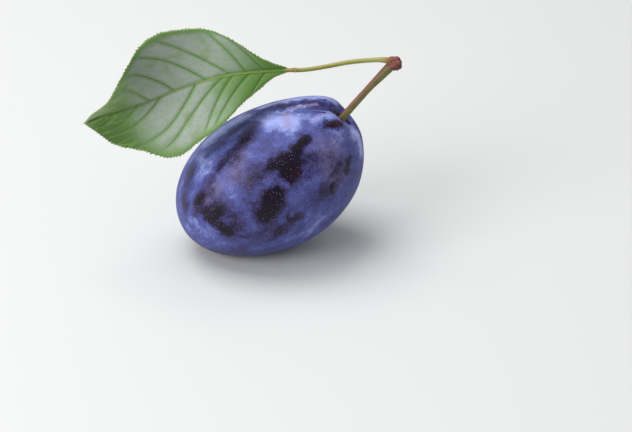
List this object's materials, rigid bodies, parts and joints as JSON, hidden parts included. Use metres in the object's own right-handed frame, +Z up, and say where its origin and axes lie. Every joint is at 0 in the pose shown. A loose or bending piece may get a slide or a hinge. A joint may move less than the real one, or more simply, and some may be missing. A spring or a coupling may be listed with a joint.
{
  "type": "plum",
  "caption": "Oval blue-black plum with waxy bloom, suture groove and stalk cavity, with its stalk, woody knob and a toothed leaf; rests on a small flat spot.",
  "frame": {"origin": "the middle of the small flat spot that the fruit rests on", "axes": "+Z up; +X the way that the stalk end of the fruit points along the surface, with the leaf reaching back over the fruit towards -X; +Y across, away from the side that shows the fruit best"},
  "size_m": [0.0748, 0.0368, 0.0547],
  "materials": {
    "plum_skin": "dark blue-purple skin under a pale blue waxy bloom that is rubbed off in soft patches; matt to satin",
    "stalk": "olive green on its lower side, reddish brown on its upper side, with fine brown specks; matt",
    "knob_bark": "reddish-brown ridged bark, matt",
    "leaf_stalk": "yellow-green, with brown joints at both ends; satin",
    "leaf": "fresh green with a grey sheen between pressed side veins and a light midrib; satin"
  },
  "bodies": {
    "root": {"fruit": "plum_skin", "fruit_stalk": "stalk", "spur_knob": "knob_bark", "leaf_stalk": "leaf_stalk", "leaf_blade": "leaf"}
  },
  "joints": []
}
